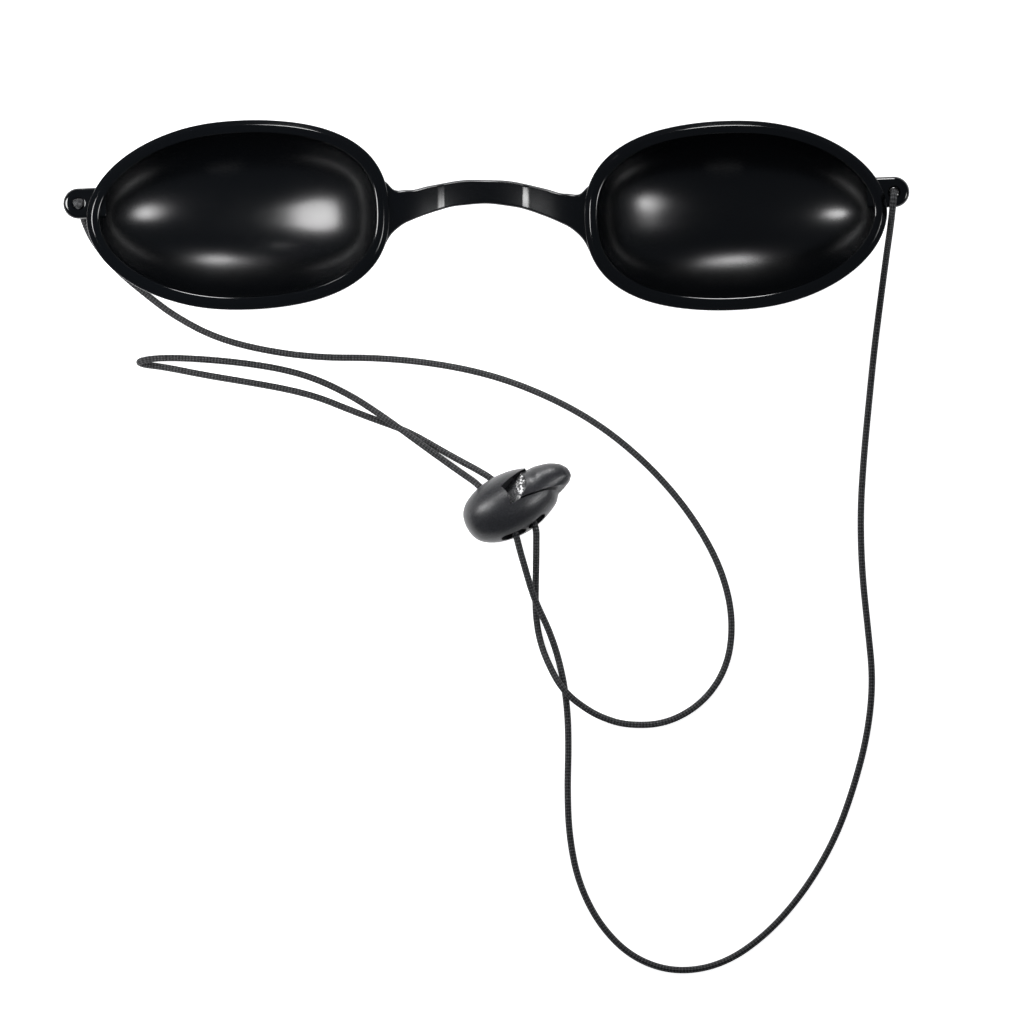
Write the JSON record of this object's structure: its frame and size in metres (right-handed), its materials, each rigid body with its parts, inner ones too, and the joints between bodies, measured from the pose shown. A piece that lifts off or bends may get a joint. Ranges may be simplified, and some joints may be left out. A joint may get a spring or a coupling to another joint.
{
  "type": "tanning goggles",
  "caption": "Opaque moulded eye shield for sunbeds: domed eye cups on an arched, flexible nose bridge, worn on a thin elastic head cord that a sprung cord lock adjusts.",
  "frame": {"origin": "middle of the eye shield's outline in plan, on the surface that its domes rest on", "axes": "+X to the right-hand cup of the view from above, +Y to the brow side, +Z out of the cups towards the face"},
  "size_m": [0.1432, 0.1451, 0.0148],
  "materials": {
    "shield_plastic": "polished black moulding",
    "cord_cover": "black braided cover over elastic",
    "lock_plastic": "finely grained black moulding",
    "spring_steel": "bright spring wire"
  },
  "bodies": {
    "goggles": {"eye_shield": "shield_plastic", "cord_left": "cord_cover", "cord_right": "cord_cover", "cord_pull_loop": "cord_cover", "knot_left": "cord_cover", "knot_right": "cord_cover"},
    "lock": {"lock_housing": "lock_plastic", "lock_spring": "spring_steel"},
    "button": {"lock_button": "lock_plastic"}
  },
  "joints": [
    {"name": "lock_slide", "type": "slide", "parent": "goggles", "child": "lock", "axis": [0.7725, -0.5193, 0.3656], "range_m": [-0.003, 0]},
    {"name": "button_press", "type": "slide", "parent": "lock", "child": "button", "axis": [-0.8829, -0.4695, 0], "range_m": [0, 0.0013], "stiffness_N_per_m": 400, "deforming": ["lock_spring"]}
  ]
}
